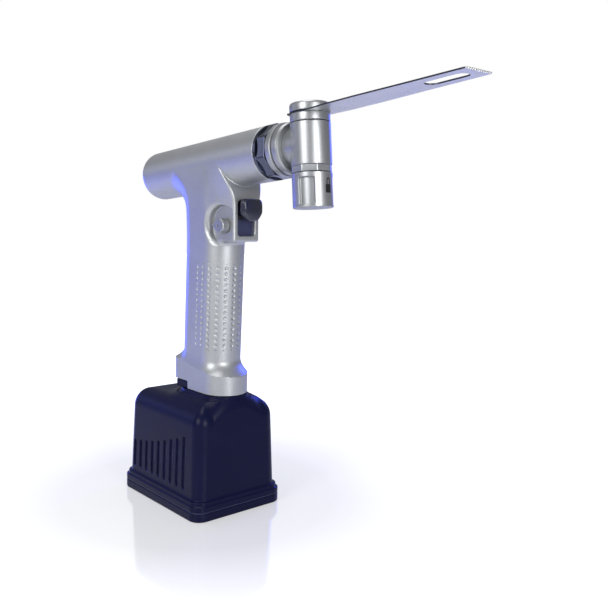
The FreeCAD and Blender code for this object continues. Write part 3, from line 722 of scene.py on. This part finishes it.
class SAW_OT_head(bpy.types.Operator):
    """Saw head, retaining nut, blade seat, cap and lock knob."""
    bl_idname = "saw.head"
    bl_label = "Saw head"

    def execute(self, context):
        at = leaned(REACH)
        silver = head_silver()
        body = carved("head_body", head_field, (-12.2, -11.8, -11.8), (11.5, 11.8, 12), 0.42, at)
        dress(body, "head", "head_housing", silver)
        profile = [(4, -15, 0), (11.3, -15, 0.3), (11.3, -11.35, 0.3), (4, -11.35, 0)]
        corner_turn = Matrix.Rotation(math.radians(-5), 4, "Z")
        nut = turned("nut_flats", profile, at @ corner_turn, flats=(11.3, 10.5, -16))
        dress(nut, "head", "retaining_nut", silver)
        knob = carved("knob_cup", knob_field, (-11.5, -11.5, -34.5), (11.5, 11.5, -15.2), 0.36, at)
        dress(knob, "knob", "lock_knob", silver)
        profile = [(1.7, 12.2, 0), (11.1, 12.2, 0.35), (11.1, SEAT_TOP, 0.35), (1.7, SEAT_TOP, 0)]
        ring = turned("seat_ring", profile, at)
        dress(ring, "spindle", "blade_seat", silver)
        profile = [(0, 17.7, 0), (11.2, 17.7, 0.3), (11.2, 22.4, 1.5), (0, 22.4, 0)]
        cap = turned("cap_disc", profile, at)
        dress(cap, "cap", "clamp_cap", silver)
        return {"FINISHED"}


class SAW_OT_blade(bpy.types.Operator):
    """Slotted blade with its row of teeth."""
    bl_idname = "saw.blade"
    bl_label = "Blade"

    def execute(self, context):
        sizes = context.scene.saw_sizes
        edge = [(TIP_X, TIP_HALF), (73, 10.1), (45, sizes.blade_half), (21, sizes.blade_half),
                (11, 10.2), (-8, 9.6), (-9.6, 7.2)]
        outline = edge + [(x, -y) for x, y in reversed(edge)]
        window = []
        for k in range(-8, 9):
            turn = math.pi / 2 * k / 8
            window.append((100.8 + SLOT_HALF * math.cos(turn), SLOT_HALF * math.sin(turn)))
        for k in range(-8, 9):
            turn = math.pi / 2 * k / 8
            window.append((85.2 - SLOT_HALF * math.cos(turn), -SLOT_HALF * math.sin(turn)))
        bm = bmesh.new()
        loops = []
        for loop in (outline, window):
            verts = [bm.verts.new((x * MM, y * MM, SEAT_TOP * MM)) for x, y in loop]
            loops += [bm.edges.new((verts[i - 1], verts[i])) for i in range(len(verts))]
        bmesh.ops.triangle_fill(bm, use_beauty=True, edges=loops)
        bmesh.ops.recalc_face_normals(bm, faces=bm.faces)
        if sum(f.normal.z for f in bm.faces) < 0:
            bmesh.ops.reverse_faces(bm, faces=bm.faces)
        top = bmesh.ops.extrude_face_region(bm, geom=list(bm.faces))["geom"]
        raised = [v for v in top if isinstance(v, bmesh.types.BMVert)]
        bmesh.ops.translate(bm, vec=(0, 0, STRIP_THICK * MM), verts=raised)
        bmesh.ops.recalc_face_normals(bm, faces=bm.faces)
        mesh = bpy.data.meshes.new("blade_strip")
        bm.to_mesh(mesh)
        mesh.transform(leaned(REACH))
        strip = seat("blade_strip", mesh)
        dress(strip, "spindle", "blade", blade_steel())
        # the cut edge all round, a darker skin on the strip's side
        skin = bmesh.new()
        for face in bm.faces:
            if abs(face.normal.z) < 0.5:
                skin.faces.new([skin.verts.new(v.co + face.normal * 0.02 * MM) for v in face.verts])
        bm.free()
        mesh = bpy.data.meshes.new("blade_edge")
        skin.to_mesh(mesh)
        skin.free()
        mesh.transform(leaned(REACH))
        dress(seat("blade_edge", mesh), "spindle", None, edge_steel())
        self.teeth(context, sizes)
        return {"FINISHED"}

    def teeth(self, context, sizes):
        """Row of teeth: one wedge repeated across the tip."""
        bm = bmesh.new()
        pitch = 2 * TIP_HALF / sizes.tooth_count
        wedge = [(-0.2, -pitch / 2), (0, -pitch / 2), (1.3, 0), (0, pitch / 2), (-0.2, pitch / 2)]
        low = [bm.verts.new((x * MM, y * MM, 0)) for x, y in wedge]
        high = [bm.verts.new((x * MM, y * MM, STRIP_THICK * MM)) for x, y in wedge]
        bm.faces.new(list(reversed(low)))
        bm.faces.new(high)
        for i in range(len(wedge)):
            bm.faces.new((low[i - 1], low[i], high[i], high[i - 1]))
        bmesh.ops.recalc_face_normals(bm, faces=bm.faces)
        mesh = bpy.data.meshes.new("tooth")
        bm.to_mesh(mesh)
        bm.free()
        tooth = seat("tooth", mesh)

        tree = bpy.data.node_groups.new("TeethRow", "GeometryNodeTree")
        tree.interface.new_socket("Geometry", in_out="OUTPUT", socket_type="NodeSocketGeometry")
        inputs = {}
        row_sizes = (
            ("Count", "NodeSocketInt", sizes.tooth_count),
            ("Pitch", "NodeSocketFloat", pitch * MM),
            ("Start", "NodeSocketFloat", -(TIP_HALF - pitch / 2) * MM),
        )
        for name, kind, value in row_sizes:
            socket = tree.interface.new_socket(name, in_out="INPUT", socket_type=kind)
            socket.default_value = value
            inputs[name] = (socket.identifier, value)
        given = add(tree, "NodeGroupInput")
        start = add(tree, "ShaderNodeCombineXYZ", {"X": TIP_X * MM, "Z": SEAT_TOP * MM},
                    {"Y": given.outputs["Start"]})
        offset = add(tree, "ShaderNodeCombineXYZ", {}, {"Y": given.outputs["Pitch"]})
        line = add(tree, "GeometryNodeMeshLine", {},
                   {"Count": given.outputs["Count"], "Start Location": start.outputs[0],
                    "Offset": offset.outputs[0]})
        source = add(tree, "GeometryNodeObjectInfo", {"Object": tooth})
        copies = add(tree, "GeometryNodeInstanceOnPoints", {},
                     {"Points": line.outputs[0], "Instance": source.outputs["Geometry"]})
        real = add(tree, "GeometryNodeRealizeInstances", {}, {0: copies.outputs[0]})
        paint = add(tree, "GeometryNodeSetMaterial", {"Material": blade_steel()}, {0: real.outputs[0]})
        add(tree, "NodeGroupOutput", {}, {0: paint.outputs[0]})

        row = seat("blade_teeth", bpy.data.meshes.new("blade_teeth"))
        modifier = row.modifiers.new("Teeth", "NODES")
        modifier.node_group = tree
        for identifier, value in inputs.values():
            modifier[identifier] = value
        graph = context.evaluated_depsgraph_get()
        made = bpy.data.meshes.new_from_object(row.evaluated_get(graph))
        row.modifiers.clear()
        row.data = made
        made.transform(leaned(REACH))
        bpy.data.objects.remove(tooth)
        dress(row, "spindle", None, blade_steel())


class SAW_OT_controls(bpy.types.Operator):
    """Trigger pad and mode selector."""
    bl_idname = "saw.controls"
    bl_label = "Trigger and selector"

    def execute(self, context):
        pad = carved("trigger_shield", trigger_field, (40.3, -7.5, 184.4), (56, 7.5, 198.2), 0.36)
        dress(pad, "trigger", ("trigger_pad", "trigger_stem"), pad_black_painted_blue_light())
        at = Matrix.Translation((39.6 * MM, -10.0 * MM, 181.6 * MM))
        dial = carved("selector_dial", dial_field, (-10.6, -5.4, -4.8), (4.8, 0.0, 4.8), 0.26, at)
        dress(dial, "selector", "selector_knob", head_silver())
        return {"FINISHED"}


class SAW_OT_marks(bpy.types.Operator):
    """Generic padlock sign on the lock knob."""
    bl_idname = "saw.marks"
    bl_label = "Signs"

    def execute(self, context):
        strips = []
        for k in range(8):
            left, right = -2.0 + 0.5 * k, -1.5 + 0.5 * k
            strips.append([(left, -26.8), (right, -26.8), (right, -22.2), (left, -22.2)])
        bow = []
        for k in range(13):
            turn = math.pi * k / 12
            bow.append((1.35 * math.cos(turn), -20.0 + 1.35 * math.sin(turn)))
        shackle = [(1.35, -22.2)] + bow + [(-1.35, -22.2)]
        inner = [(x * 0.5, z if z < -20.1 else -20.0 + (z + 20.0) * 0.5) for x, z in shackle]
        bm = bmesh.new()
        links = [[shackle[i], shackle[i + 1], inner[i + 1], inner[i]] for i in range(len(shackle) - 1)]
        for outline in strips + links:
            front, back = [], []
            for x, z in outline:
                angle = x / HEAD_RADIUS + math.radians(7)
                for ring, radius in ((front, 11.27), (back, 11.1)):
                    ahead, aside = radius * math.cos(angle), radius * math.sin(angle)
                    ring.append(bm.verts.new((ahead * MM, aside * MM, z * MM)))
            bm.faces.new(front)
            bm.faces.new(list(reversed(back)))
            for i in range(len(front)):
                bm.faces.new((front[i - 1], back[i - 1], back[i], front[i]))
        bmesh.ops.recalc_face_normals(bm, faces=bm.faces)
        mesh = bpy.data.meshes.new("padlock_sign")
        bm.to_mesh(mesh)
        bm.free()
        mesh.transform(leaned(REACH))
        dress(seat("padlock_sign", mesh), "knob", None, icon_black())
        return {"FINISHED"}


class SAW_OT_inside(bpy.types.Operator):
    """Finish for every node that keeps its own shape."""
    bl_idname = "saw.inside"
    bl_label = "Inner pieces"

    def execute(self, context):
        finishes = {
            "seal": slot_dark_painted_blue_light, "steel": inner_steel, "inner_plastic": inner_moulding,
            "brass": contact_brass, "board": board_green, "cell_wrap": cell_blue,
            "magnet": inner_steel, "trigger_black": slot_dark_painted_blue_light, "black_shell": shell_black_painted_blue_light,
            "cast_satin": cast_silver, "head_satin": head_silver, "collar_polish": flat_steel_painted_reflection,
            "blade_steel": blade_steel,
        }
        for entry in frame["record"]["subparts"]:
            thing = frame["nodes"][entry["node"]]
            slot = entry.get("material_slot") or entry.get("slot")
            material = finishes[slot]()
            if thing.data.materials:
                for i in range(len(thing.data.materials)):
                    thing.data.materials[i] = material
            else:
                thing.data.materials.append(material)
        return {"FINISHED"}


class SAW_PT_panel(bpy.types.Panel):
    """Sidebar list of the saw's steps and sizes."""
    bl_idname = "SAW_PT_panel"
    bl_label = "Saw handpiece"
    bl_space_type = "VIEW_3D"
    bl_region_type = "UI"
    bl_category = "Saw"

    def draw(self, context):
        for name in STEPS:
            self.layout.operator("saw." + name)
        for name in SawSizes.__annotations__:
            self.layout.prop(context.scene.saw_sizes, name)


STEPS = ("stage", "inside", "casing", "battery", "coupling", "head", "blade", "controls", "marks")
CLASSES = (
    SawSizes, SAW_OT_stage, SAW_OT_inside, SAW_OT_casing, SAW_OT_battery, SAW_OT_coupling,
    SAW_OT_head, SAW_OT_blade, SAW_OT_controls, SAW_OT_marks, SAW_PT_panel,
)


def register():
    for item in CLASSES:
        bpy.utils.register_class(item)
    bpy.types.Scene.saw_sizes = PointerProperty(type=SawSizes)


def unregister():
    del bpy.types.Scene.saw_sizes
    for item in reversed(CLASSES):
        bpy.utils.unregister_class(item)


def main():
    register()
    for name in STEPS:
        getattr(bpy.ops.saw, name)()


if __name__ == "__main__":
    main()
